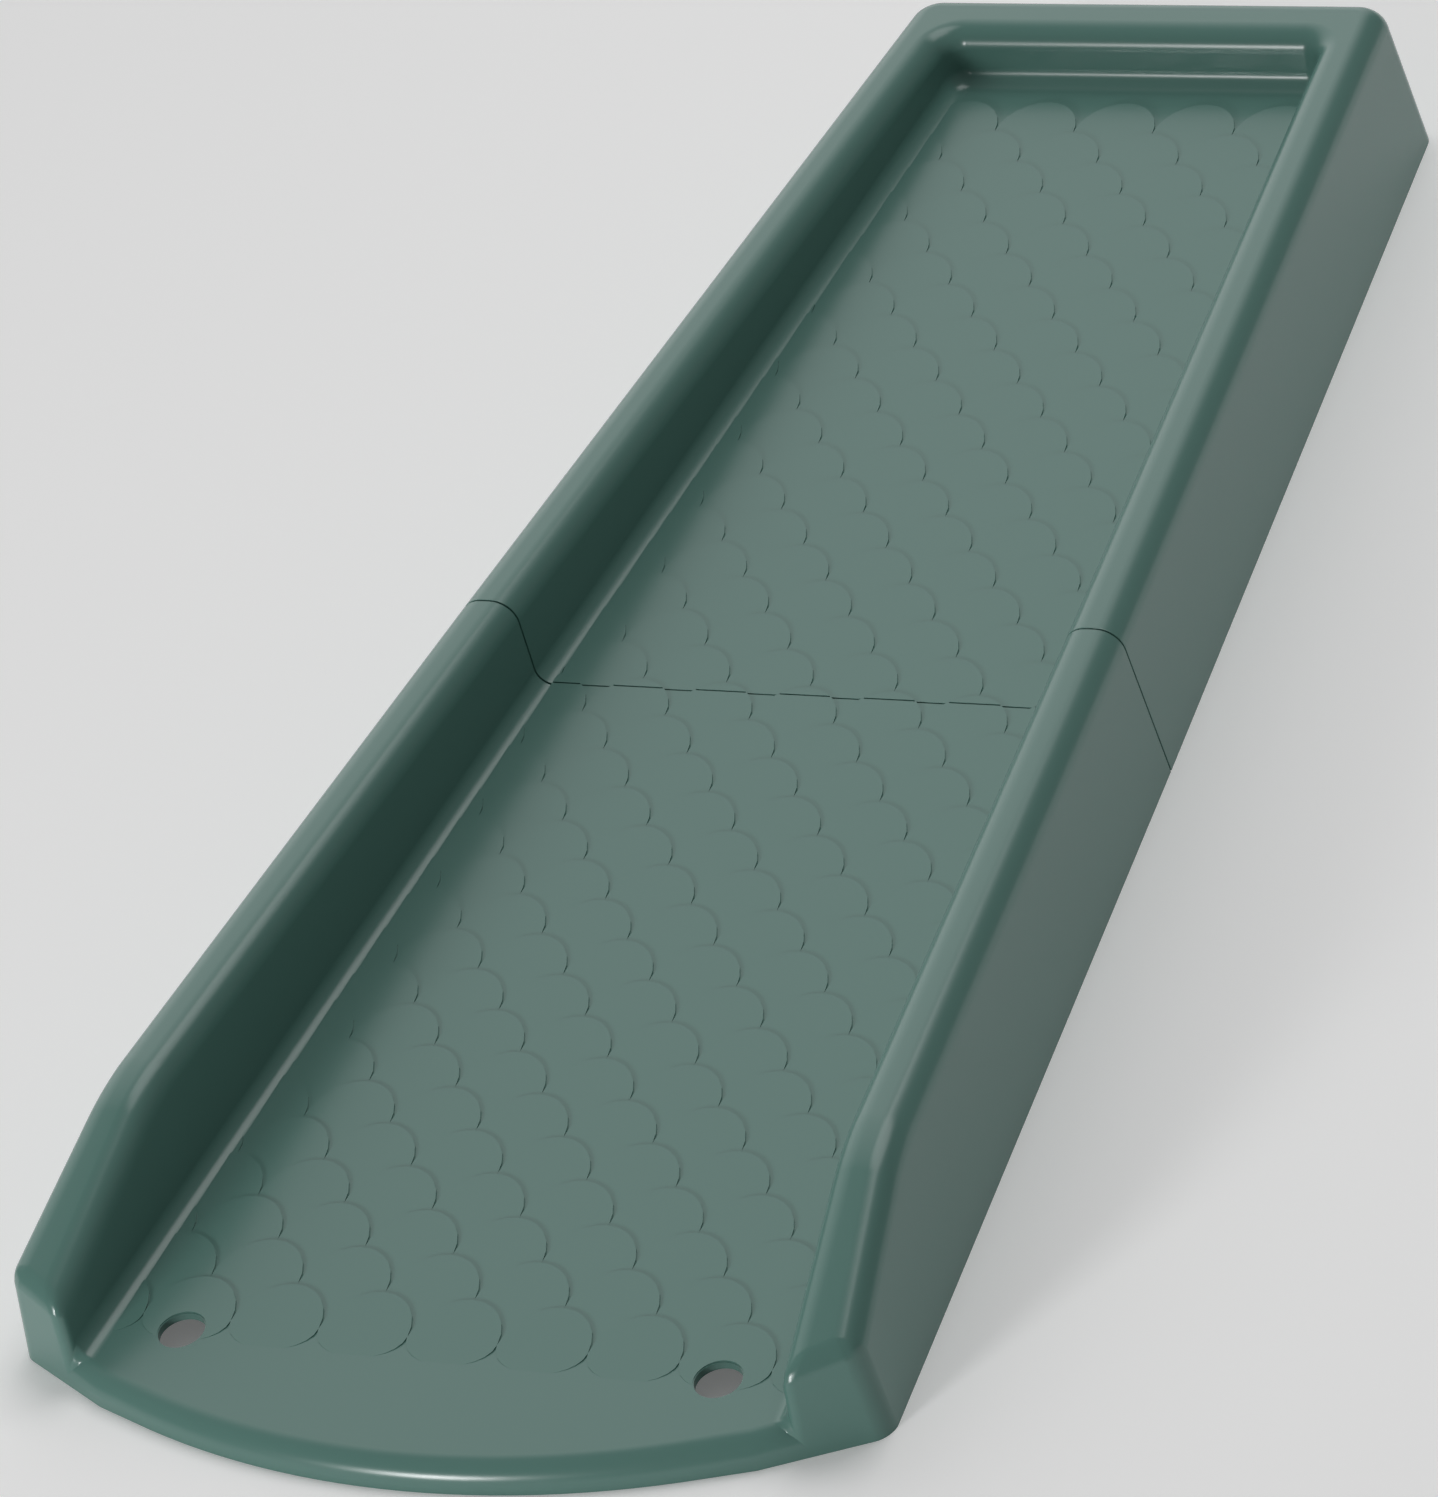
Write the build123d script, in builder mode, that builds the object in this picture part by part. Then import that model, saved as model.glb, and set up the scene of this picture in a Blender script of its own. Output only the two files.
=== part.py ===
import math
import os

from build123d import *

# Downspout splash block, moulded in two sections that meet at mid-length.
# The middle of the footprint is the origin, on the ground. The mouth faces
# minus Y and the closed back wall faces plus Y. All sizes are in millimetres.

# Overall size of the block
length = 610.0
rim_height = 47.0
half_width_back = 80.4
half_width_seam = 103.6
half_width_mouth = 122.0
back_y = length / 2
mouth_y = -length / 2
seam_y = -6.0
mouth_corner_y = -269.0

# Slopes of the faces, as millimetres sideways for each millimetre up
side_draft = 0.118
back_draft = 0.05
mouth_draft = 0.1
inner_draft = 0.03

# Walls, floor and rounded edges
wall = 2.0
side_wall_width = 16.5
back_wall_width = 20.0
floor_height_middle = 18.9
floor_slope = 0.037
rim_outer_round = 6.0
rim_inner_round = 7.0
rim_bend_round = 60.0
floor_round = 5.0
mouth_round = 4.0
outer_corner_round = 8.5
inner_corner_round = 6.0
# Size of the flat bevels inside the shell, as a share of the round outside them
inside_bevel = 0.55

# The rim falls towards the mouth from the bend on
rim_bend_y = -214.0
rim_end_y = -277.0
rim_end_height = 26.5

# The mouth is bowed, with this radius seen from above
bow_radius = 225.0

# Holes for the ground stakes
stake_hole_diameter = 12.5
stake_hole_spacing = 150.5
stake_hole_y = -265.0

# Fish-scale pattern of the floor
scale_width = 25.2
scale_row = 15.2
scale_rows = 35
scales_each_way = 6
first_row_y = 256.4
scale_step = 0.5
scale_rise = 0.95
scale_sides = 5
scale_lift = 0.1
scale_depth = 3.0
scale_root = 1.0
scale_reach = 1.3

# Lap joint under the seam
lap_length = 12.0
lap_root = 8.0
lap_clearance = 0.15
lap_bite = 0.5

# How far working shapes reach past the finished block
reach = 40.0

rear_flare = (half_width_seam - half_width_back) / (back_y - seam_y)
front_flare = (half_width_mouth - half_width_seam) / (seam_y - mouth_corner_y)
mouth_lean = math.atan(mouth_draft)
back_wall_y = back_y - back_draft * rim_height - back_wall_width
rim_fall = (rim_height - rim_end_height) / (rim_bend_y - rim_end_y)


def half_width(y, flare):
    return half_width_seam - flare * (y - seam_y)


def trough_side(z):
    return side_draft * rim_height + side_wall_width + inner_draft * (rim_height - z)


def cut_to(shape, planes):
    """The shape that is left behind all the planes, which look outwards."""
    with BuildPart() as piece:
        add(shape)
        for plane in planes:
            split(bisect_by=plane, keep=Keep.BOTTOM)
    return piece.part


def slab(low_y, high_y, low_z, high_z):
    with BuildPart() as block:
        with Locations((0, (low_y + high_y) / 2, (low_z + high_z) / 2)):
            Box(3 * half_width_mouth, high_y - low_y, high_z - low_z)
    return block.part


def side_planes(half, flare, draft):
    """Upright planes on both sides, this far out at the seam and on the ground."""
    right = Plane(origin=(half, seam_y, 0), x_dir=(0, 0, 1), z_dir=(1, flare, draft))
    left = Plane(origin=(-half, seam_y, 0), x_dir=(0, 0, 1), z_dir=(-1, flare, draft))
    return [right, left]


def across_plane(y, height, draft):
    return Plane(origin=(0, y, height), x_dir=(1, 0, 0), z_dir=(0, 1, draft))


def hull(inset, flare, near_y, bottom):
    """The outside of the block without its trough, open-ended towards the mouth."""
    planes = side_planes(half_width_seam - inset, flare, side_draft)
    planes.append(across_plane(back_y - inset, 0, back_draft))
    return cut_to(slab(near_y, back_y + reach, bottom, rim_height - inset), planes)


def trough(inset, flare, near_y):
    """The hollow that carries the water, grown on each side by the inset."""
    tilted_floor = Plane(
        origin=(0, 0, floor_height_middle - inset),
        x_dir=(1, 0, 0),
        z_dir=(0, floor_slope, -1),
    )
    planes = side_planes(half_width_seam - trough_side(0) + inset, flare, -inner_draft)
    planes.append(across_plane(back_wall_y + inset, rim_height, -inner_draft))
    planes.append(tilted_floor)
    return cut_to(slab(near_y, back_y + reach, -reach, rim_height + reach), planes)


def round_off(edges, radius, inset):
    """Round the edges that show. Inside the shell a flat bevel keeps the wall even."""
    if inset == 0:
        fillet(edges, radius)
    else:
        chamfer(edges, inside_bevel * radius)


def is_steep(edge):
    return abs((edge @ 1 - edge @ 0).Z) > 0.7 * edge.length


def is_lengthwise(edge):
    return abs((edge @ 1 - edge @ 0).Y) > 0.7 * edge.length


def is_outer(edge, flare, inset):
    middle = edge.center()
    side = side_draft * middle.Z + inset
    return abs(half_width(middle.Y, flare) - side - abs(middle.X)) < wall


def is_inner(edge, flare, inset):
    middle = edge.center()
    side = trough_side(middle.Z) - inset
    return abs(half_width(middle.Y, flare) - side - abs(middle.X)) < wall


def rear_trough(inset):
    """Trough of the rear half, closed by the back wall, with rounded corners."""
    with BuildPart() as hollow:
        add(trough(inset, rear_flare, seam_y - 2 * reach))
        round_off(hollow.edges().filter_by(is_steep).sort_by(Axis.Y)[-2:], inner_corner_round, inset)
        floor_edges = hollow.faces().filter_by(lambda f: f.normal_at().Z < -0.9)[0].edges()
        round_off(floor_edges.sort_by(Axis.Y)[1:], floor_round, inset)
    return hollow.part


def front_trough(inset):
    """Trough of the front half, open at both ends, with rounded floor edges."""
    with BuildPart() as hollow:
        add(trough(inset, front_flare, mouth_y - 2 * reach))
        split(bisect_by=Plane.XZ.offset(-seam_y - reach), keep=Keep.TOP)
        floor_edges = hollow.faces().filter_by(lambda f: f.normal_at().Z < -0.9)[0].edges()
        round_off(floor_edges.filter_by(is_lengthwise), floor_round, inset)
    return hollow.part


def rear_form(inset, bottom):
    """Rear half as a solid: hull less trough, with rounded rim. It runs on past the seam."""
    with BuildPart() as block:
        add(hull(inset, rear_flare, seam_y - reach, bottom))
        round_off(block.edges().filter_by(is_steep).sort_by(Axis.Y)[-2:], outer_corner_round, inset)
        add(rear_trough(inset), mode=Mode.SUBTRACT)
        top = block.faces().filter_by(lambda f: f.normal_at().Z > 0.99).sort_by(Axis.Z)[-1]
        rim = top.edges().sort_by(Axis.Y)[2:]
        inner = rim.filter_by(lambda e: is_inner(e, rear_flare, inset) or abs(e.center().X) < 60)
        inner = inner.filter_by(lambda e: e.center().Y < back_wall_y + inset + wall)
        outer = rim.filter_by(lambda e: e not in inner)
        round_off(outer, rim_outer_round, inset)
        round_off(inner, rim_inner_round, inset)
    return block.part


def front_form(inset, bottom, round_mouth):
    """Front half as a solid, with the falling rim and the bowed mouth. It runs on past the seam."""
    falling_top = Plane(
        origin=(0, rim_bend_y, rim_height - inset),
        x_dir=(1, 0, 0),
        z_dir=(0, -rim_fall, 1),
    )
    with BuildPart() as block:
        add(hull(inset, front_flare, mouth_y - reach, bottom))
        split(bisect_by=Plane.XZ.offset(-seam_y - reach), keep=Keep.TOP)
        split(bisect_by=falling_top, keep=Keep.BOTTOM)
        bend = block.edges().filter_by(lambda e: abs(e.center().Y - rim_bend_y) < wall)
        fillet(bend, rim_bend_round)
        add(front_trough(inset), mode=Mode.SUBTRACT)
        rim = block.edges().filter_by(lambda e: e.center().Z > floor_height_middle + floor_round)
        rim = rim.filter_by(is_lengthwise)
        round_off(rim.filter_by(lambda e: is_outer(e, front_flare, inset)), rim_outer_round, inset)
        rim = block.edges().filter_by(lambda e: e.center().Z > floor_height_middle + floor_round)
        rim = rim.filter_by(is_lengthwise)
        round_off(rim.filter_by(lambda e: is_inner(e, front_flare, inset)), rim_inner_round, inset)
        with Locations((0, mouth_y + bow_radius / math.cos(mouth_lean), 0)):
            Cylinder(
                radius=bow_radius - inset,
                height=4 * reach,
                rotation=(-math.degrees(mouth_lean), 0, 0),
                mode=Mode.INTERSECT,
            )
        if round_mouth:
            mouth_face = block.faces().sort_by(Axis.Y)[0]
            fillet(mouth_face.edges().filter_by(lambda e: e.center().Z > wall), mouth_round)
    return block.part


def row_y(row):
    return first_row_y - scale_row * row


def scale_band(row):
    """One row of overlapping scales: a slab with a scalloped edge, high at that edge."""
    tilt = floor_slope + scale_step / scale_row
    y = row_y(row)
    top = Plane(
        origin=(0, y, floor_height_middle + floor_slope * y + scale_lift + scale_step),
        x_dir=(1, 0, 0),
        z_dir=(0, -tilt, 1),
    )
    count = 2 * scales_each_way + row % 2
    left = -scale_width * count / 2
    outline = [(left, 0)]
    for index in range(count):
        middle = left + scale_width * (index + 0.5)
        for step in range(1, scale_sides + 1):
            turn = math.pi * (1 - step / scale_sides)
            x = middle + scale_width / 2 * math.cos(turn)
            outline.append((x, scale_rise * scale_row * math.sin(turn)))
    outline.append((-left, -scale_reach * scale_row))
    outline.append((left, -scale_reach * scale_row))
    with BuildPart() as band:
        with BuildSketch(top):
            with BuildLine():
                Polyline(*outline, close=True)
            make_face()
        extrude(amount=-scale_depth)
    return band.part


def scales(rows, bed):
    """The rows of scales, trimmed to the bed that they grow out of."""
    with BuildPart() as pattern:
        add([scale_band(row) for row in rows])
        add(bed, mode=Mode.INTERSECT)
    return pattern.part


def slice_of(shape, near_y, far_y):
    """The part of the shape between two upright planes across the block."""
    with BuildPart() as piece:
        add(shape)
        split(bisect_by=Plane.XZ.offset(-near_y), keep=Keep.BOTTOM)
        split(bisect_by=Plane.XZ.offset(-far_y), keep=Keep.TOP)
    return piece.part


seam_row = round((first_row_y - seam_y) / scale_row)
rear_scales = scales(range(0, seam_row + 2), rear_trough(scale_root))
front_scales = scales(range(seam_row - 2, scale_rows), front_trough(scale_root))

with BuildPart() as rear_section:
    add(rear_form(0, 0))
    add(rear_form(wall, -reach), mode=Mode.SUBTRACT)
    add(rear_scales)
    split(bisect_by=Plane.XZ.offset(-seam_y), keep=Keep.BOTTOM)

lap_core = rear_form(2 * wall, -reach)

with BuildPart() as lap:
    add(rear_form(wall + lap_clearance, 0))
    add(lap_core, mode=Mode.SUBTRACT)

with BuildPart() as lap_foot:
    add(rear_form(wall - lap_bite, 0))
    add(lap_core, mode=Mode.SUBTRACT)

with BuildPart() as front_section:
    add(front_form(0, 0, True))
    add(front_form(wall, -reach, False), mode=Mode.SUBTRACT)
    add(front_scales)
    split(bisect_by=Plane.XZ.offset(-seam_y), keep=Keep.TOP)
    add(slice_of(lap_foot.part, seam_y - lap_root, seam_y))
    add(slice_of(lap.part, seam_y - lap_root, seam_y + lap_length))
    with Locations((0, stake_hole_y, 0)):
        with GridLocations(stake_hole_spacing, 0, 2, 1):
            Cylinder(radius=stake_hole_diameter / 2, height=2 * rim_height, mode=Mode.SUBTRACT)

os.makedirs("parts", exist_ok=True)
rear_section.part.label = "rear_section"
front_section.part.label = "front_section"
export_step(rear_section.part, "parts/rear_section.step")
export_step(front_section.part, "parts/front_section.step")
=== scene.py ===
import math

import bmesh
import bpy
from mathutils import Matrix, Vector


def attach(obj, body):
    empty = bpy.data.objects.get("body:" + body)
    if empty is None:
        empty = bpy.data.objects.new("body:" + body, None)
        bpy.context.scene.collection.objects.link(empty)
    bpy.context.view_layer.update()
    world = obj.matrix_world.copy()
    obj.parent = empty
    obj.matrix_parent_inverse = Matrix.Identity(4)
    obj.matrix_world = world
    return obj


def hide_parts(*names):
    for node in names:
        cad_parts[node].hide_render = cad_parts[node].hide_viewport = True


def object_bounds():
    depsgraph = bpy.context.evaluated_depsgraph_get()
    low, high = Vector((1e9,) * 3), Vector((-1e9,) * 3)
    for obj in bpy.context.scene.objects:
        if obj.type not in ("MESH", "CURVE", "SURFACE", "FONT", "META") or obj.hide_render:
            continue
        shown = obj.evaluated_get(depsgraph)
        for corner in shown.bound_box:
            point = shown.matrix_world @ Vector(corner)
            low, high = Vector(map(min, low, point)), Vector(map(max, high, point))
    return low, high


bl_info = {
    "name": "Downspout Splash Block",
    "version": (1, 0, 0),
    "blender": (4, 5, 0),
    "location": "View3D > Sidebar > Splash Block",
    "description": "A two-section splash block in moulded green plastic, with its studio",
    "category": "Object",
}

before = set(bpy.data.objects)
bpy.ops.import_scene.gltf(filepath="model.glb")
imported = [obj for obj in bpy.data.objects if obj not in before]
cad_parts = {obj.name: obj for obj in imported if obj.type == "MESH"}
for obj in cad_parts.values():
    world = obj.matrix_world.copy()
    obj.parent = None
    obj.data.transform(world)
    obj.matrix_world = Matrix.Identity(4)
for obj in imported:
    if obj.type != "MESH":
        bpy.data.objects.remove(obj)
BLOCK_LOW, BLOCK_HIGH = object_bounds()

MM = 0.001

# The section planes lean by these amounts sideways for each unit up
SIDE_DRAFT = 0.118
BACK_DRAFT = 0.05
MOUTH_DRAFT = 0.1
INNER_DRAFT = 0.03

# Stations along the block, from the mouth at minus Y to the closed back
SEAM_Y = -6 * MM
MOUTH_CORNER_Y = -269 * MM
RIM_BEND_Y = -214 * MM
RIM_END_Y = -277 * MM
HOLES_Y = -265 * MM

# The sections are made this much too long, and then trimmed at the seam
SPARE = 30 * MM
# Distance within which a point counts as lying on a face
CLOSE = 0.01 * MM
# Edges that turn by more than the first are sharp, and by less than the second are taken out
SHARP_TURN = math.radians(30)
FLAT_TURN = math.radians(0.1)
# A face is level where its normal rises by the first, and an edge upright by the second
LEVEL = 0.9
UPRIGHT = 0.7
# Number of flats in a broad round and in a tight one
BROAD = 10
TIGHT = 8


def length_property(name, description, default):
    return bpy.props.FloatProperty(
        name=name,
        description=description,
        default=default,
        min=0.0,
        subtype="DISTANCE",
        unit="LENGTH",
        precision=5,
    )


def factor_property(name, description, default):
    return bpy.props.FloatProperty(
        name=name, description=description, default=default, min=0.0, max=1.0, subtype="FACTOR"
    )


def strength_property(name, description, default):
    return bpy.props.FloatProperty(name=name, description=description, default=default, min=0.0)


class SplashBlockSizes(bpy.types.PropertyGroup):
    length: length_property("Length", "From the lip to the back", BLOCK_HIGH.y - BLOCK_LOW.y)
    rim_height: length_property("Rim height", "Height of the level rim", BLOCK_HIGH.z)
    rim_end_height: length_property("Rim end height", "Height of the rim at the mouth", 26.5 * MM)
    back_width: length_property("Back width", "Width on the ground at the back", 160.8 * MM)
    seam_width: length_property("Seam width", "Width on the ground at the seam", 207.2 * MM)
    mouth_width: length_property("Mouth width", "Width on the ground at the mouth", 244.0 * MM)
    side_wall_width: length_property("Side wall width", "Width of the rim at the sides", 16.5 * MM)
    back_wall_width: length_property("Back wall width", "Width of the rim at the back", 20 * MM)
    floor_height: length_property("Floor height", "Height of the floor at mid-length", 18.9 * MM)
    bow_radius: length_property("Bow radius", "Radius of the bow, seen from above", 225 * MM)
    wall: length_property("Wall", "Thickness of the plastic", 2 * MM)
    rim_outer_round: length_property("Rim outer round", "Round on the outside of the rim", 6.5 * MM)
    rim_inner_round: length_property("Rim inner round", "Round on the inside of the rim", 7 * MM)
    floor_round: length_property("Floor round", "Round between the floor and the walls", 5 * MM)
    lip_round: length_property("Lip round", "Round on the bowed lip", 5.5 * MM)
    wall_end_round: length_property("Wall end round", "Round on the ends of the walls", 4.5 * MM)
    hole: length_property("Hole", "Diameter of the two holes near the mouth", 12.5 * MM)
    hole_spacing: length_property("Hole spacing", "From one hole to the other", 150.5 * MM)
    seam_gap: length_property("Seam gap", "Width of the line between the sections", 0.5 * MM)
    floor_slope: bpy.props.FloatProperty(
        name="Floor slope", description="Fall of the floor to the mouth", default=0.037, min=0.0
    )


class SplashScaleSizes(bpy.types.PropertyGroup):
    width: length_property("Scale width", "Width of one fish scale", 25.2 * MM)
    row: length_property("Row", "Distance from one row of scales to the next", 15.2 * MM)
    step: length_property("Step", "Height by which a scale stands over the next", 0.5 * MM)
    edge: length_property("Scale edge", "Width of the soft edge of a scale", 0.8 * MM)
    first_row: length_property("First row", "Place of the row next to the back", 256.4 * MM)
    rows: bpy.props.IntProperty(
        name="Rows", description="Number of rows of scales", default=35, min=1
    )


class SplashPlastic(bpy.types.PropertyGroup):
    green: bpy.props.FloatVectorProperty(
        name="Green",
        description="Colour of the moulded plastic",
        subtype="COLOR",
        size=3,
        min=0.0,
        max=1.0,
        default=(0.031, 0.1, 0.078),
    )
    roughness: factor_property("Roughness", "How matt the moulded skin is", 0.08)
    gloss: factor_property("Gloss", "How strongly the skin reflects", 0.3)


class SplashStudio(bpy.types.PropertyGroup):
    floor_size: length_property("Floor size", "Length of each side of the floor", 14.0)
    floor_white: factor_property("Floor white", "Paleness of the floor", 0.97)
    backdrop: strength_property("Backdrop", "White added to the floor where it is seen", 0.12)
    sky: strength_property("Sky", "Strength of the light from all round", 0.14)
    glow: strength_property("Glow", "Strength of the pale patch behind", 1.1)


class Shape:
    """Where the faces of a section lie, worked out from the sizes in the panel."""

    def __init__(self, sizes, flare):
        self.sizes = sizes
        self.flare = flare
        self.half_seam = sizes.seam_width / 2
        self.back_y = sizes.length / 2
        self.mouth_y = -sizes.length / 2
        self.back_wall_y = self.back_y - BACK_DRAFT * sizes.rim_height - sizes.back_wall_width
        self.rim_fall = (sizes.rim_height - sizes.rim_end_height) / (RIM_BEND_Y - RIM_END_Y)

    def floor_z(self, y):
        return self.sizes.floor_height + self.sizes.floor_slope * y

    def outer_x(self, y, z):
        return self.half_seam - self.flare * (y - SEAM_Y) - SIDE_DRAFT * z

    def inner_x(self, y, z):
        rim = self.sizes.rim_height
        width = SIDE_DRAFT * rim + self.sizes.side_wall_width + INNER_DRAFT * (rim - z)
        return self.half_seam - self.flare * (y - SEAM_Y) - width

    def trough_back_y(self):
        """Where the back wall meets the floor."""
        drop = self.sizes.rim_height - self.sizes.floor_height
        return (self.back_wall_y - INNER_DRAFT * drop) / (1 - INNER_DRAFT * self.sizes.floor_slope)

    def is_on_floor(self, point):
        return abs(point.z - self.floor_z(point.y)) < CLOSE

    def is_on_outside(self, point):
        off = abs(abs(point.x) - self.outer_x(point.y, point.z))
        return point.z > self.sizes.wall and off < CLOSE

    def is_on_inside(self, point):
        return abs(abs(point.x) - self.inner_x(point.y, point.z)) < CLOSE


def rear_shape(sizes):
    flare = (sizes.seam_width - sizes.back_width) / 2 / (sizes.length / 2 - SEAM_Y)
    return Shape(sizes, flare)


def front_shape(sizes):
    flare = (sizes.mouth_width - sizes.seam_width) / 2 / (SEAM_Y - MOUTH_CORNER_Y)
    return Shape(sizes, flare)


# Cutting and rounding

def all_of(bm):
    return bm.verts[:] + bm.edges[:] + bm.faces[:]


def with_borders(faces):
    """The faces with their edges and vertices, each once."""
    edges = dict.fromkeys(edge for face in faces for edge in face.edges)
    verts = dict.fromkeys(vert for face in faces for vert in face.verts)
    return [*verts, *edges, *faces]


def cut(bm, place, normal, geom=None, trim=False):
    """Cut by a plane and return the new edges. Trim also takes away what lies beyond the plane."""
    made = bmesh.ops.bisect_plane(
        bm,
        geom=geom or all_of(bm),
        dist=CLOSE / 10,
        plane_co=Vector(place),
        plane_no=Vector(normal),
        clear_outer=trim,
    )
    return [item for item in made["geom_cut"] if isinstance(item, bmesh.types.BMEdge)]


def trim_closed(bm, place, normal):
    edges = cut(bm, place, normal, trim=True)
    if edges:
        bmesh.ops.edgeloop_fill(bm, edges=edges)


def round_edges(bm, edges, offset, segments):
    bmesh.ops.bevel(
        bm,
        geom=edges,
        offset=offset,
        offset_type="OFFSET",
        affect="EDGES",
        segments=segments,
        profile=0.5,
        material=-1,
        clamp_overlap=False,
        loop_slide=True,
    )


def faces_upwards(bm):
    bm.normal_update()
    return [face for face in bm.faces if face.normal.z > LEVEL]


def is_sharp(edge):
    return len(edge.link_faces) == 2 and edge.calc_face_angle(0) > SHARP_TURN


def is_flat(edge):
    return len(edge.link_faces) == 2 and edge.calc_face_angle(0) < FLAT_TURN


def is_upright(edge):
    a, b = (vert.co for vert in edge.verts)
    return abs(a.z - b.z) > UPRIGHT * (a - b).length


def sharp_edges(bm, test):
    """Sharp edges both of whose ends pass the test."""
    sharp = [edge for edge in bm.edges if is_sharp(edge)]
    return [edge for edge in sharp if all(test(vert.co) for vert in edge.verts)]


def finished(bm, add_modifiers):
    """Put the mesh through modifiers and take the result back."""
    mesh = bpy.data.meshes.new("unfinished")
    bm.to_mesh(mesh)
    holder = bpy.data.objects.new("unfinished", mesh)
    bpy.context.scene.collection.objects.link(holder)
    add_modifiers(holder)
    result = holder.evaluated_get(bpy.context.evaluated_depsgraph_get()).to_mesh()
    bm.clear()
    bm.from_mesh(result)
    bpy.data.objects.remove(holder)
    bpy.data.meshes.remove(mesh)


def thicken(bm, thickness):
    """Give the skin a wall, inwards, and keep it off the ground below."""

    def add_modifiers(holder):
        wall = holder.modifiers.new("wall", "SOLIDIFY")
        wall.thickness = thickness
        wall.offset = -1
        wall.use_quality_normals = True

    finished(bm, add_modifiers)
    for vert in bm.verts:
        vert.co.z = max(vert.co.z, 0)


def bore(bm, centre, radius):
    """Upright round hole through a closed shape."""
    cutter = bmesh.new()
    bmesh.ops.create_cone(
        cutter,
        cap_ends=True,
        segments=48,
        radius1=radius,
        radius2=radius,
        depth=100 * MM,
        matrix=Matrix.Translation(centre),
    )
    mesh = bpy.data.meshes.new("cutter")
    cutter.to_mesh(mesh)
    cutter.free()
    tool = bpy.data.objects.new("cutter", mesh)
    bpy.context.scene.collection.objects.link(tool)

    def add_modifiers(holder):
        hole = holder.modifiers.new("hole", "BOOLEAN")
        hole.operation = "DIFFERENCE"
        hole.solver = "EXACT"
        hole.object = tool

    finished(bm, add_modifiers)
    bpy.data.objects.remove(tool)
    bpy.data.meshes.remove(mesh)


def all_at(item, y):
    """Whether an edge or face lies upright across the block at this station."""
    return all(abs(vert.co.y - y) < CLOSE for vert in item.verts)


# Outer skins of the sections

def block_between(bm, shape, low_y, high_y):
    """Solid block between the two leaning sides, as high as the rim."""
    rim = shape.sizes.rim_height
    size = (2 * shape.sizes.mouth_width, high_y - low_y, rim, 1)
    middle = Vector((0, (low_y + high_y) / 2, rim / 2))
    box = Matrix.Translation(middle) @ Matrix.Diagonal(size)
    bmesh.ops.create_cube(bm, size=1, matrix=box)
    for side in (1, -1):
        place = (side * shape.half_seam, SEAM_Y, 0)
        trim_closed(bm, place, (side, shape.flare, SIDE_DRAFT))


def sink_trough(bm, shape, closed_back):
    """Push the middle of the top down to the floor between the walls."""
    rim = shape.sizes.rim_height
    near_middle = shape.half_seam / 4
    for side in (1, -1):
        place = (side * shape.inner_x(SEAM_Y, rim), SEAM_Y, rim)
        cut(bm, place, (side, shape.flare, -INNER_DRAFT), with_borders(faces_upwards(bm)))

    def middle_faces():
        tops = faces_upwards(bm)
        return [face for face in tops if abs(face.calc_center_median().x) < near_middle]

    middle = middle_faces()
    if closed_back:
        back_y = shape.back_wall_y
        cut(bm, (0, back_y, rim), (0, 1, 0), with_borders(middle))
        middle = [face for face in middle_faces() if face.calc_center_median().y < back_y]
    made = bmesh.ops.extrude_face_region(bm, geom=middle)["geom"]
    bmesh.ops.delete(bm, geom=middle, context="FACES_ONLY")
    for vert in made:
        if isinstance(vert, bmesh.types.BMVert):
            at_back = closed_back and abs(vert.co.y - shape.back_wall_y) < CLOSE
            y = shape.trough_back_y() if at_back else vert.co.y
            z = shape.floor_z(y)
            vert.co = (math.copysign(shape.inner_x(y, z), vert.co.x), y, z)
    floor = [item for item in made if isinstance(item, bmesh.types.BMFace)]
    if len(floor) > 1:
        bmesh.ops.dissolve_faces(bm, faces=floor)
    loose = [edge for edge in bm.edges if not edge.link_faces]
    bmesh.ops.delete(bm, geom=loose, context="EDGES")
    flat = [edge for edge in bm.edges if is_flat(edge)]
    bmesh.ops.dissolve_edges(bm, edges=flat, use_verts=True)


def open_up(bm, *ends):
    """Take away the underside and the cut ends, which leaves an open skin."""
    gone = [face for face in bm.faces if all(vert.co.z < CLOSE for vert in face.verts)]
    for y in ends:
        gone += [face for face in bm.faces if all_at(face, y)]
    bmesh.ops.delete(bm, geom=gone, context="FACES")


def rear_skin(bm, sizes):
    """Trough closed by the back wall, running on past the seam."""
    corner_outer = 8.5 * MM
    corner_inner = 6 * MM
    shape = rear_shape(sizes)
    near_y = SEAM_Y - SPARE
    block_between(bm, shape, near_y, shape.back_y + SPARE)
    trim_closed(bm, (0, shape.back_y, 0), (0, 1, BACK_DRAFT))
    upright = [edge for edge in bm.edges if is_upright(edge)]
    corners = [edge for edge in upright if edge.verts[0].co.y > shape.back_wall_y]
    round_edges(bm, corners, corner_outer, BROAD)
    sink_trough(bm, shape, closed_back=True)
    open_up(bm, near_y)

    def is_in_corner(point):
        return shape.is_on_inside(point) and point.y > shape.trough_back_y() - CLOSE

    def is_on_rim(point):
        return point.z > sizes.rim_height - CLOSE

    def is_within(point):
        inside = abs(point.x) < shape.inner_x(point.y, point.z) + CLOSE
        return inside and point.y < shape.back_wall_y + CLOSE

    corners = [edge for edge in sharp_edges(bm, is_in_corner) if is_upright(edge)]
    round_edges(bm, corners, corner_inner, TIGHT)
    outer = sharp_edges(bm, lambda point: is_on_rim(point) and not is_within(point))
    round_edges(bm, outer, sizes.rim_outer_round, BROAD)
    round_edges(bm, sharp_edges(bm, is_on_rim), sizes.rim_inner_round, BROAD)
    round_edges(bm, sharp_edges(bm, shape.is_on_floor), sizes.floor_round, TIGHT)


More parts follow.
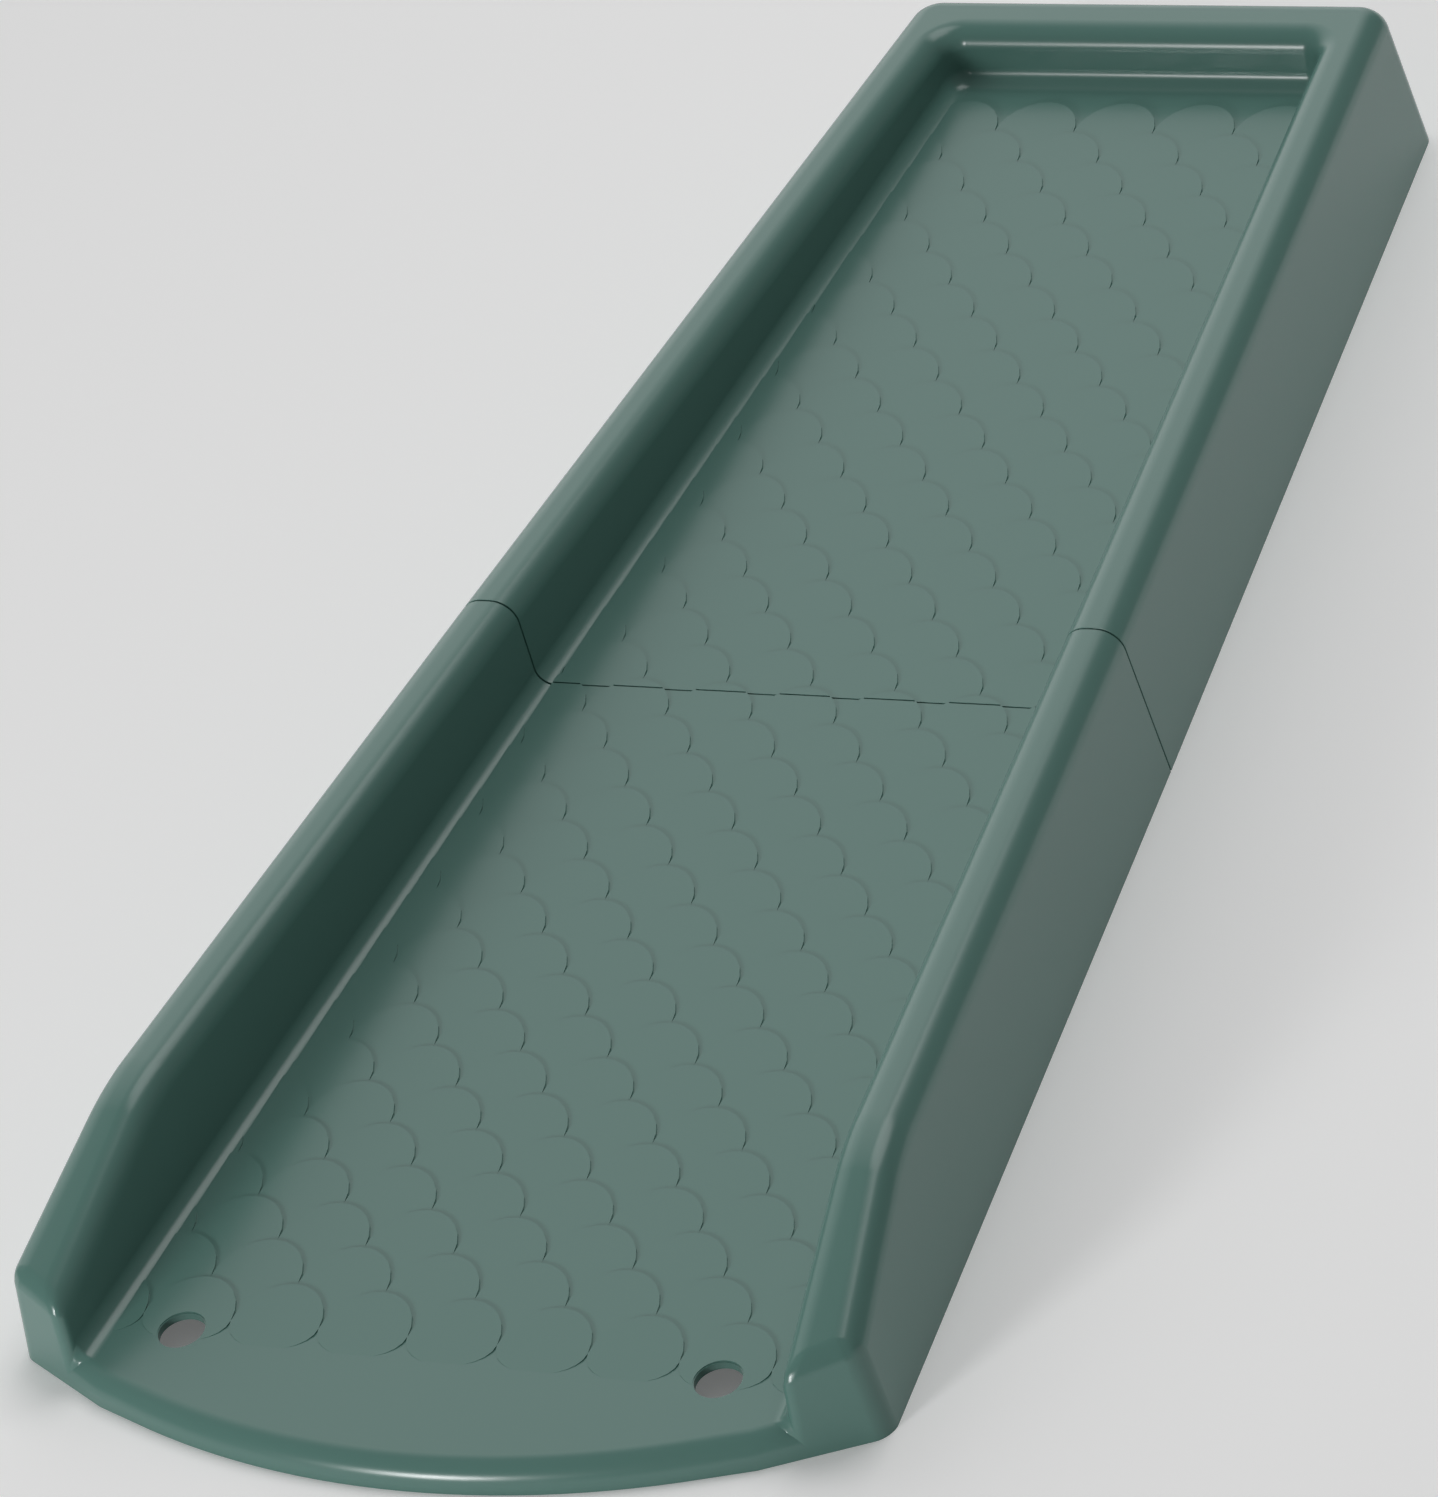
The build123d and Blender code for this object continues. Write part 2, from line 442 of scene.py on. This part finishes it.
class Mouth:
    """The bowed front of the block, faced with flat facets that lean back."""

    lip_facets = 26
    lip_turn = math.radians(20)
    end_turn = math.radians(28)
    same_turn = 1e-4

    def __init__(self, shape):
        lean = math.atan(MOUTH_DRAFT)
        self.radius = shape.sizes.bow_radius
        self.axis = Vector((0, math.sin(lean), math.cos(lean)))
        self.ahead = Vector((0, -math.cos(lean), math.sin(lean)))
        self.centre = Vector((0, shape.mouth_y + self.radius / math.cos(lean), 0))
        shares = [2 * step / self.lip_facets - 1 for step in range(self.lip_facets + 1)]
        lip = [self.lip_turn * share for share in shares]
        self.turns = [-self.end_turn, *lip, self.end_turn]
        self.bends = [(a + b) / 2 for a, b in zip(self.turns, self.turns[1:])]

    def normal(self, turn):
        return math.sin(turn) * Vector((1, 0, 0)) + math.cos(turn) * self.ahead

    def is_at_bend(self, point):
        turn = math.atan2(point.x, (point - self.centre).dot(self.ahead))
        return min(abs(turn - bend) for bend in self.bends) < self.same_turn

    def on_ground(self, point):
        return point - self.axis * (point.z / self.axis.z)


def open_border(start):
    """Vertices along the open edge, from one on the ground to the next on the ground."""
    border = [start]
    last = None
    while len(border) == 1 or border[-1].co.z > CLOSE:
        edges = [edge for edge in border[-1].link_edges if edge.is_boundary and edge is not last]
        last = next(edge for edge in edges if max(vert.co.z for vert in edge.verts) > CLOSE)
        border.append(last.other_vert(border[-1]))
    return border


def close_mouth(bm, shape):
    """Trim the skin to the bowed mouth, close it to the ground, and return the new faces."""
    mouth = Mouth(shape)
    for turn in mouth.turns:
        normal = mouth.normal(turn)
        cut(bm, mouth.centre + mouth.radius * normal, normal, trim=True)
    left = [vert for vert in bm.verts if vert.is_boundary and vert.co.x < 0]
    on_ground = [vert for vert in left if vert.co.z < CLOSE]
    border = open_border(min(on_ground, key=lambda vert: vert.co.y))
    facets = []
    foot = None
    top = [border[0]]
    for vert in border[1:]:
        top.append(vert)
        is_last = vert is border[-1]
        if is_last or mouth.is_at_bend(vert.co):
            next_foot = None if is_last else bm.verts.new(mouth.on_ground(vert.co))
            loop = top + [corner for corner in (next_foot, foot) if corner is not None]
            facets.append(bm.faces.new(loop[::-1]))
            foot = next_foot
            top = [vert]
    return facets


def front_skin(bm, sizes):
    """Open trough with the falling rim and the bowed mouth, running on past the seam."""
    bend_round = 9.5 * MM
    widest_round = 8 * MM
    shape = front_shape(sizes)
    near_y = shape.mouth_y - sizes.wall
    far_y = SEAM_Y + SPARE
    block_between(bm, shape, near_y, far_y)
    trim_closed(bm, (0, RIM_BEND_Y, sizes.rim_height), (0, -shape.rim_fall, 1))
    bend = [edge for edge in bm.edges if all_at(edge, RIM_BEND_Y)]
    round_edges(bm, bend, bend_round, TIGHT)
    sink_trough(bm, shape, closed_back=False)
    open_up(bm, near_y, far_y)
    facets = close_mouth(bm, shape)
    weight = bm.edges.layers.float.new("bevel_weight_edge")
    for test, size in (
        (shape.is_on_outside, sizes.rim_outer_round),
        (shape.is_on_inside, sizes.rim_inner_round),
        (shape.is_on_floor, sizes.floor_round),
    ):
        for edge in sharp_edges(bm, test):
            edge[weight] = size / widest_round
    for edge in {edge for face in facets for edge in face.edges}:
        at_mouth = sum(face in facets for face in edge.link_faces)
        is_border = len(edge.link_faces) == 2 and at_mouth == 1
        on_lip = all(shape.is_on_floor(vert.co) for vert in edge.verts)
        size = sizes.lip_round if on_lip else sizes.wall_end_round
        edge[weight] = size / widest_round if is_border else 0

    def add_modifiers(holder):
        rounds = holder.modifiers.new("rounds", "BEVEL")
        rounds.affect = "EDGES"
        rounds.limit_method = "WEIGHT"
        rounds.offset_type = "OFFSET"
        rounds.width = widest_round
        rounds.segments = TIGHT
        rounds.profile = 0.5
        rounds.use_clamp_overlap = False

    finished(bm, add_modifiers)


def hole_centres(shape):
    """Where the two holes pass through the floor near the mouth."""
    half = shape.sizes.hole_spacing / 2
    return [Vector((side * half, HOLES_Y, shape.floor_z(HOLES_Y))) for side in (1, -1)]


# Details of the sections

def ease_seam(bm, seam_y):
    """Take the sharpness off the edges that meet at the seam."""
    easing = 0.25 * MM
    edges = [edge for edge in bm.edges if is_sharp(edge) and all_at(edge, seam_y)]
    round_edges(bm, edges, easing, 2)


def lap_strip(bm, sizes, near_y, far_y, depth, thickness):
    """Strip of wall under the skin of the rear section, which joins the sections."""
    rear_skin(bm, sizes)
    cut(bm, (0, near_y, 0), (0, -1, 0), trim=True)
    cut(bm, (0, far_y, 0), (0, 1, 0), trim=True)
    bm.normal_update()
    inwards = [(vert, vert.co - vert.normal * depth) for vert in bm.verts]
    for vert, place in inwards:
        vert.co = (place.x, vert.co.y, max(place.z, 0))
    thicken(bm, thickness)


def scale_disc(scales, shape, middle, row_y, front_reach):
    """One fish scale: a thin oval disc with a soft edge, which rises to its back."""
    sides = 24
    depth = 1.2 * MM
    sink = 0.05 * MM
    back_reach = 0.95 * scales.row
    bm = bmesh.new()
    bmesh.ops.create_circle(bm, cap_ends=True, segments=sides, radius=1)
    top = bm.faces[:]
    for vert in bm.verts:
        reach = back_reach if vert.co.y > 0 else front_reach
        vert.co = (middle + vert.co.x * scales.width / 2, row_y + vert.co.y * reach, 0)
    bmesh.ops.inset_region(bm, faces=top, thickness=scales.edge, use_even_offset=True)
    edge_fall = 1.25 * scales.step
    for vert in bm.verts:
        drop = 0 if vert in top[0].verts else edge_fall
        ahead = vert.co.y - row_y
        lift = scales.step * (1 + ahead / (scales.row if ahead > 0 else front_reach))
        vert.co.z = shape.floor_z(vert.co.y) + lift - sink - drop
    skirt = bmesh.ops.extrude_face_region(bm, geom=bm.faces[:])["geom"]
    for vert in skirt:
        if isinstance(vert, bmesh.types.BMVert):
            vert.co.z -= depth
    bmesh.ops.recalc_face_normals(bm, faces=bm.faces[:])
    return bm


def scale_places(scales, shape, low_y, high_y):
    """Places of the scales whose discs reach between the two stations."""
    places = []
    for row in range(scales.rows):
        row_y = scales.first_row - scales.row * row
        if row_y + scales.row < low_y or row_y - scales.row > high_y:
            continue
        reach = shape.inner_x(row_y, shape.floor_z(row_y)) + scales.width / 2
        shift = row % 2 * scales.width / 2
        count = int((reach - shift) / scales.width) + 1
        right = [shift + step * scales.width for step in range(count)]
        middles = sorted({side * middle for side in (1, -1) for middle in right})
        places += [(middle, row_y) for middle in middles]
    return places


def scaled_floor(scales, shape, low_y, high_y):
    """Overlapping scales over the floor, trimmed to the trough, the seam and the holes."""
    hole_margin = 0.3 * MM
    within_round = 4.2 * MM
    last_reach = 0.55 * scales.row
    last_row_y = scales.first_row - scales.row * (scales.rows - 1)
    discs = []
    for middle, row_y in scale_places(scales, shape, low_y, high_y):
        is_last = row_y < last_row_y + scales.row / 2
        disc = scale_disc(scales, shape, middle, row_y, last_reach if is_last else scales.row)
        for hole in hole_centres(shape):
            if abs(hole.x - middle) < scales.width / 2 and abs(hole.y - row_y) < scales.row:
                bore(disc, hole, shape.sizes.hole / 2 + hole_margin)
        discs.append(disc)
    bm = merged(discs)
    z = shape.floor_z(SEAM_Y)
    for side in (1, -1):
        place = (side * (shape.inner_x(SEAM_Y, z) - within_round), SEAM_Y, z)
        trim_closed(bm, place, (side, shape.flare, -INNER_DRAFT))
    trim_closed(bm, (0, low_y, 0), (0, -1, 0))
    trim_closed(bm, (0, high_y, 0), (0, 1, 0))
    return bm


def merged(parts):
    """One mesh made of several finished ones."""
    whole = bmesh.new()
    for part in parts:
        mesh = bpy.data.meshes.new("part")
        part.to_mesh(mesh)
        part.free()
        whole.from_mesh(mesh)
        bpy.data.meshes.remove(mesh)
    return whole


# Plastic

def add_noise(tree, place, scale, detail):
    noise = tree.nodes.new("ShaderNodeTexNoise")
    noise.inputs["Scale"].default_value = scale
    noise.inputs["Detail"].default_value = detail
    tree.links.new(place.outputs["Object"], noise.inputs["Vector"])
    return noise


def green_plastic(plastic):
    """Moulded plastic with faint clouds of colour, uneven gloss and a slight ripple."""
    name = "green_plastic"
    tint_range = 0.04
    matter, glossier = 0.03, 0.02
    ripple_strength = 0.12
    ripple_depth = 0.2 * MM
    if name in bpy.data.materials:
        return bpy.data.materials[name]
    material = bpy.data.materials.new(name)
    material.use_nodes = True
    shader = material.node_tree.nodes["Principled BSDF"]
    shader.inputs["Base Color"].default_value = (*plastic.green, 1.0)
    shader.inputs["Roughness"].default_value = plastic.roughness
    shader.inputs["Specular IOR Level"].default_value = plastic.gloss
    tree = material.node_tree
    place = tree.nodes.new("ShaderNodeTexCoord")
    cloud = add_noise(tree, place, 9.0, 3.0)
    tint = tree.nodes.new("ShaderNodeMixRGB")
    for socket, share in (("Color1", 1 - tint_range), ("Color2", 1 + tint_range)):
        tint.inputs[socket].default_value = (*(share * part for part in plastic.green), 1.0)
    tree.links.new(cloud.outputs["Fac"], tint.inputs["Fac"])
    tree.links.new(tint.outputs["Color"], shader.inputs["Base Color"])
    wear = tree.nodes.new("ShaderNodeMapRange")
    wear.inputs["To Min"].default_value = plastic.roughness - glossier
    wear.inputs["To Max"].default_value = plastic.roughness + matter
    tree.links.new(add_noise(tree, place, 45.0, 4.0).outputs["Fac"], wear.inputs["Value"])
    tree.links.new(wear.outputs["Result"], shader.inputs["Roughness"])
    ripple = tree.nodes.new("ShaderNodeBump")
    ripple.inputs["Strength"].default_value = ripple_strength
    ripple.inputs["Distance"].default_value = ripple_depth
    tree.links.new(add_noise(tree, place, 60.0, 2.0).outputs["Fac"], ripple.inputs["Height"])
    tree.links.new(ripple.outputs["Normal"], shader.inputs["Normal"])
    return material


# Pieces

def add_piece(context, bm, name, node):
    """Turn the mesh into a piece that stands for a CAD node."""
    crease = math.radians(35)
    mesh = bpy.data.meshes.new(name)
    bm.to_mesh(mesh)
    bm.free()
    mesh.shade_smooth()
    mesh.set_sharp_from_angle(angle=crease)
    mesh.materials.clear()
    mesh.materials.append(green_plastic(context.scene.splash_plastic))
    piece = bpy.data.objects.new(name, mesh)
    context.scene.collection.objects.link(piece)
    normals = piece.modifiers.new("normals", "WEIGHTED_NORMAL")
    normals.keep_sharp = True
    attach(piece, "root")
    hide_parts(node)
    return piece


class OBJECT_OT_splash_rear_section(bpy.types.Operator):
    """Rear half of the trough, closed by the back wall"""

    bl_idname = "object.splash_rear_section"
    bl_label = "Rear Section"
    bl_options = {"REGISTER", "UNDO"}

    def execute(self, context):
        sizes = context.scene.splash_sizes
        shape = rear_shape(sizes)
        seam_y = SEAM_Y + sizes.seam_gap / 2
        shell = bmesh.new()
        rear_skin(shell, sizes)
        cut(shell, (0, seam_y, 0), (0, -1, 0), trim=True)
        thicken(shell, sizes.wall)
        ease_seam(shell, seam_y)
        floor = scaled_floor(context.scene.splash_scales, shape, seam_y, shape.back_wall_y)
        add_piece(context, merged([shell, floor]), "rear_shell", "rear_section")
        return {"FINISHED"}


class OBJECT_OT_splash_front_section(bpy.types.Operator):
    """Front half of the trough, with the bowed mouth, the two holes and the lap strip"""

    bl_idname = "object.splash_front_section"
    bl_label = "Front Section"
    bl_options = {"REGISTER", "UNDO"}

    def execute(self, context):
        lap_root = 8 * MM
        lap_length = 12 * MM
        clearance = 0.15 * MM
        sizes = context.scene.splash_sizes
        shape = front_shape(sizes)
        seam_y = SEAM_Y - sizes.seam_gap / 2
        shell = bmesh.new()
        front_skin(shell, sizes)
        cut(shell, (0, seam_y, 0), (0, 1, 0), trim=True)
        thicken(shell, sizes.wall)
        ease_seam(shell, seam_y)
        for hole in hole_centres(shape):
            bore(shell, hole, sizes.hole / 2)
        floor = scaled_floor(context.scene.splash_scales, shape, shape.mouth_y, seam_y)
        root_y = SEAM_Y - lap_root
        depth = sizes.wall + clearance
        lap = bmesh.new()
        lap_strip(lap, sizes, root_y, SEAM_Y + lap_length, depth, sizes.wall - clearance)
        depth = 0.75 * sizes.wall
        foot = bmesh.new()
        lap_strip(foot, sizes, root_y, seam_y - sizes.seam_gap, depth, sizes.wall)
        add_piece(context, merged([shell, floor, lap, foot]), "front_shell", "front_section")
        return {"FINISHED"}


# Studio

CAMERA_PLACE = Vector((0.87636, -1.52186, 1.22262))
CAMERA_RIGHT = Vector((0.905197, 0.362287, -0.222186))
CAMERA_DOWN = Vector((0.049531, -0.609167, -0.791494))
CAMERA_AHEAD = Vector((-0.422096, 0.705453, -0.56936))
CAMERA_LENS = 187.54

# Place, size and power of each lamp, in metres and watts
LAMPS = {
    "key_lamp": ((-0.62, -1.82, 0.44), 0.35, 13),
    "top_lamp": ((0.25, 0.75, 1.83), 1.2, 12),
}


def add_world(context, studio):
    """Even light from all round, and a soft pale patch low behind the block on the left."""
    patch = Vector((-0.56, 0.7, 0.44))
    patch_core = math.radians(10)
    patch_reach = math.radians(46)
    world = bpy.data.worlds.new("studio")
    world.use_nodes = True
    tree = world.node_tree
    background = tree.nodes["Background"]
    background.inputs["Color"].default_value = (1, 1, 1, 1)
    way = tree.nodes.new("ShaderNodeTexCoord")
    along = tree.nodes.new("ShaderNodeVectorMath")
    along.operation = "DOT_PRODUCT"
    along.inputs[1].default_value = patch.normalized()
    fade = tree.nodes.new("ShaderNodeMapRange")
    fade.interpolation_type = "SMOOTHSTEP"
    for socket, value in (
        ("From Min", math.cos(patch_reach)),
        ("From Max", math.cos(patch_core)),
        ("To Min", studio.sky),
        ("To Max", studio.sky + studio.glow),
    ):
        fade.inputs[socket].default_value = value
    tree.links.new(way.outputs["Generated"], along.inputs[0])
    tree.links.new(along.outputs["Value"], fade.inputs["Value"])
    tree.links.new(fade.outputs["Result"], background.inputs["Strength"])
    context.scene.world = world


def add_lamp(context, name, place, size, power):
    """Square soft lamp that looks at the middle of the block."""
    data = bpy.data.lights.new(name, "AREA")
    data.shape = "SQUARE"
    data.size = size
    data.energy = power
    lamp = bpy.data.objects.new(name, data)
    lamp.location = place
    lamp.rotation_euler = (-Vector(place)).to_track_quat("-Z", "Y").to_euler()
    context.scene.collection.objects.link(lamp)


def add_floor(context, studio):
    """Matt pale floor, with some white of its own where it is seen or mirrored."""
    mesh = bpy.data.meshes.new("floor")
    bm = bmesh.new()
    bmesh.ops.create_grid(bm, x_segments=1, y_segments=1, size=studio.floor_size / 2)
    bm.to_mesh(mesh)
    bm.free()
    material = bpy.data.materials.new("floor_white")
    material.use_nodes = True
    shader = material.node_tree.nodes["Principled BSDF"]
    shader.inputs["Base Color"].default_value = (*[studio.floor_white] * 3, 1.0)
    shader.inputs["Roughness"].default_value = 1.0
    shader.inputs["Specular IOR Level"].default_value = 0.0
    tree = material.node_tree
    white = tree.nodes.new("ShaderNodeEmission")
    rays = tree.nodes.new("ShaderNodeLightPath")
    seen = rays.outputs["Is Camera Ray"]
    for kind in ("Is Glossy Ray", "Is Transmission Ray"):
        either = tree.nodes.new("ShaderNodeMath")
        either.operation = "ADD"
        tree.links.new(seen, either.inputs[0])
        tree.links.new(rays.outputs[kind], either.inputs[1])
        seen = either.outputs["Value"]
    strength = tree.nodes.new("ShaderNodeMath")
    strength.operation = "MULTIPLY"
    strength.inputs[1].default_value = studio.backdrop
    both = tree.nodes.new("ShaderNodeAddShader")
    tree.links.new(seen, strength.inputs[0])
    tree.links.new(strength.outputs["Value"], white.inputs["Strength"])
    tree.links.new(shader.outputs["BSDF"], both.inputs[0])
    tree.links.new(white.outputs["Emission"], both.inputs[1])
    tree.links.new(both.outputs["Shader"], tree.nodes["Material Output"].inputs["Surface"])
    mesh.materials.append(material)
    floor = bpy.data.objects.new("floor", mesh)
    context.scene.collection.objects.link(floor)


def add_camera(context):
    camera = bpy.data.objects.new("camera", bpy.data.cameras.new("camera"))
    turn = Matrix((CAMERA_RIGHT, -CAMERA_DOWN, -CAMERA_AHEAD)).transposed()
    camera.matrix_world = Matrix.Translation(CAMERA_PLACE) @ turn.to_4x4()
    camera.data.sensor_width = 36.0
    camera.data.lens = CAMERA_LENS
    camera.data.clip_end = 50.0
    context.scene.collection.objects.link(camera)
    context.scene.camera = camera


class OBJECT_OT_splash_studio(bpy.types.Operator):
    """Floor, lamps and camera"""

    bl_idname = "object.splash_studio"
    bl_label = "Studio"
    bl_options = {"REGISTER", "UNDO"}

    def execute(self, context):
        studio = context.scene.splash_studio
        add_floor(context, studio)
        add_world(context, studio)
        for name, (place, size, power) in LAMPS.items():
            add_lamp(context, name, place, size, power)
        add_camera(context)
        context.scene.view_settings.view_transform = "Standard"
        return {"FINISHED"}


class VIEW3D_PT_splash_block(bpy.types.Panel):
    """Sizes, plastic and studio of the splash block"""

    bl_idname = "VIEW3D_PT_splash_block"
    bl_label = "Splash Block"
    bl_space_type = "VIEW_3D"
    bl_region_type = "UI"
    bl_category = "Splash Block"

    def draw(self, context):
        scene = context.scene
        column = self.layout.column()
        for group, settings in SETTINGS.items():
            for name in settings.__annotations__:
                column.prop(getattr(scene, group), name)
        for operator in OPERATORS:
            column.operator(operator.bl_idname)


SETTINGS = {
    "splash_sizes": SplashBlockSizes,
    "splash_scales": SplashScaleSizes,
    "splash_plastic": SplashPlastic,
    "splash_studio": SplashStudio,
}
OPERATORS = (OBJECT_OT_splash_rear_section, OBJECT_OT_splash_front_section, OBJECT_OT_splash_studio)


def register():
    for cls in (*SETTINGS.values(), *OPERATORS, VIEW3D_PT_splash_block):
        bpy.utils.register_class(cls)
    for name, settings in SETTINGS.items():
        setattr(bpy.types.Scene, name, bpy.props.PointerProperty(type=settings))


def unregister():
    for name in SETTINGS:
        delattr(bpy.types.Scene, name)
    for cls in (VIEW3D_PT_splash_block, *OPERATORS, *SETTINGS.values()):
        bpy.utils.unregister_class(cls)


def main():
    register()
    bpy.ops.object.splash_rear_section()
    bpy.ops.object.splash_front_section()
    bpy.ops.object.splash_studio()


if __name__ == "__main__":
    main()
